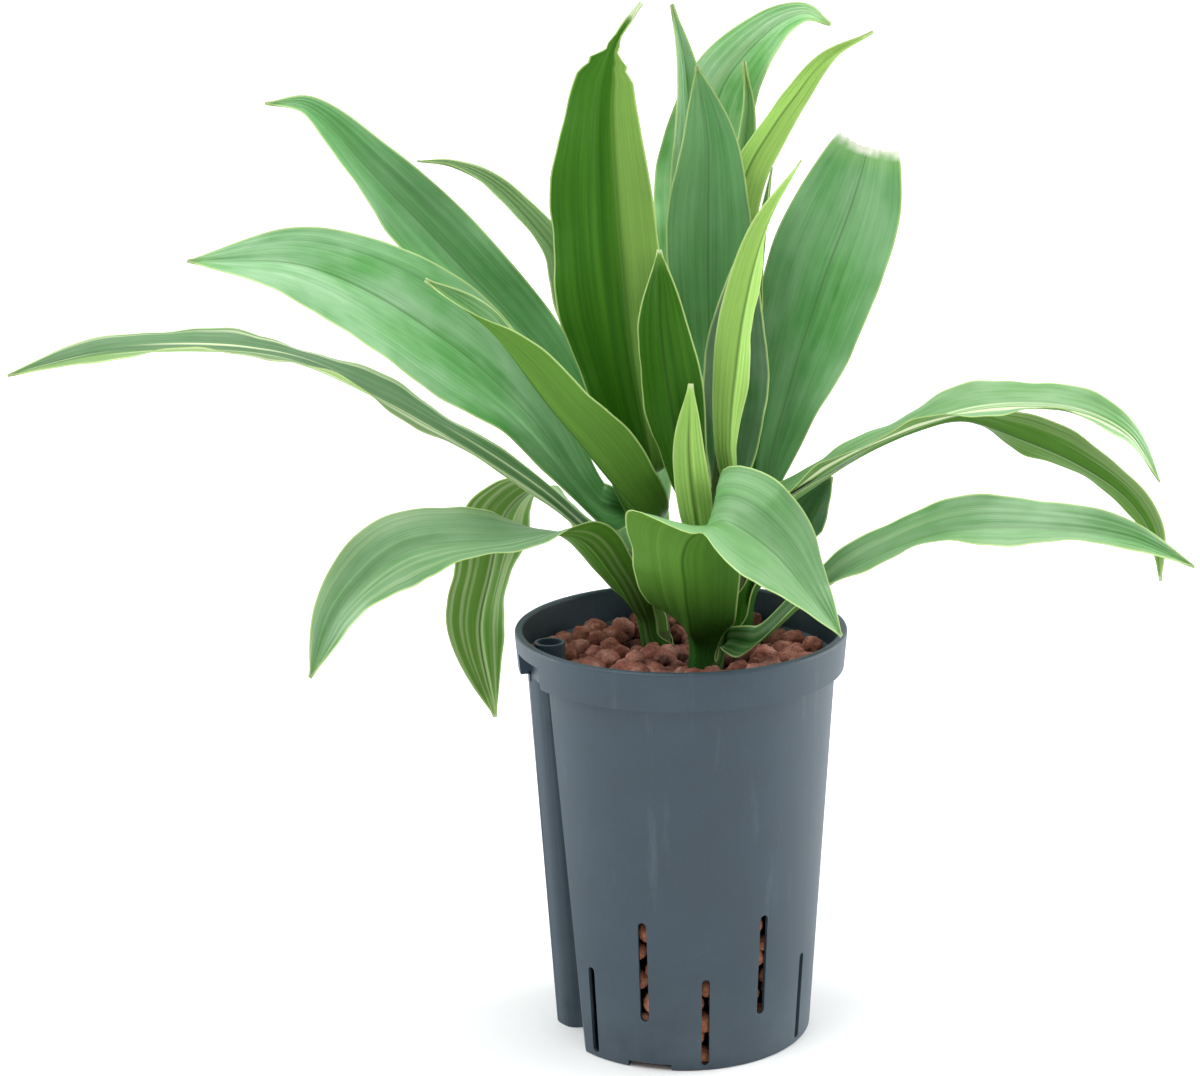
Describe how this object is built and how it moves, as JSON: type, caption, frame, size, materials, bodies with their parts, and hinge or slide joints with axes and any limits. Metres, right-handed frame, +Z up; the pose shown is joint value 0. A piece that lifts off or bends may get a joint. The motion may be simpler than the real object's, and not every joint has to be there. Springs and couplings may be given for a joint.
{
  "type": "potted dracaena",
  "caption": "Short dracaena with long strap leaves on slim shoots, growing in expanded clay in a tall round slotted culture pot.",
  "frame": {"origin": "middle of the pot's foot, on the surface it stands on", "axes": "+Z up, -Y towards the viewer of the picture, +X to the viewer's right"},
  "size_m": [0.5115, 0.3089, 0.4664],
  "materials": {
    "pot_plastic": "matte blue-grey",
    "expanded_clay": "rough fired clay granules",
    "green_stem": "green fibrous shoot",
    "leaf": "smooth green leaf with a soft sheen",
    "young_leaf": "smooth pale green leaf with a soft sheen"
  },
  "bodies": {
    "root": {"pot": "pot_plastic", "clay": "expanded_clay", "clay_granules": "expanded_clay", "stem_left": "green_stem", "stem_front": "green_stem", "stem_back": "green_stem", "leaf_arched_back": "leaf", "leaf_arched_right": "leaf", "leaf_broad_left": "leaf", "leaf_cut_right": "leaf", "leaf_dark_centre": "leaf", "leaf_drooping_left": "leaf", "leaf_far_left": "leaf", "leaf_folded_left": "leaf", "leaf_front_folded": "leaf", "leaf_hanging_left": "young_leaf", "leaf_lower_right": "leaf", "leaf_pale_front": "young_leaf", "leaf_pale_right": "young_leaf", "leaf_rear_left": "leaf", "leaf_rear_low": "leaf", "leaf_rear_right": "leaf", "leaf_sheen_right": "leaf", "leaf_short_right": "leaf", "leaf_slim_back": "leaf", "leaf_sliver_right": "leaf", "leaf_small_left": "leaf", "leaf_spear_front": "young_leaf", "leaf_spike_back": "leaf", "leaf_tall_left": "leaf", "leaf_under_right": "leaf", "leaf_upper_left": "leaf", "leaf_upright_centre": "leaf"}
  },
  "joints": []
}
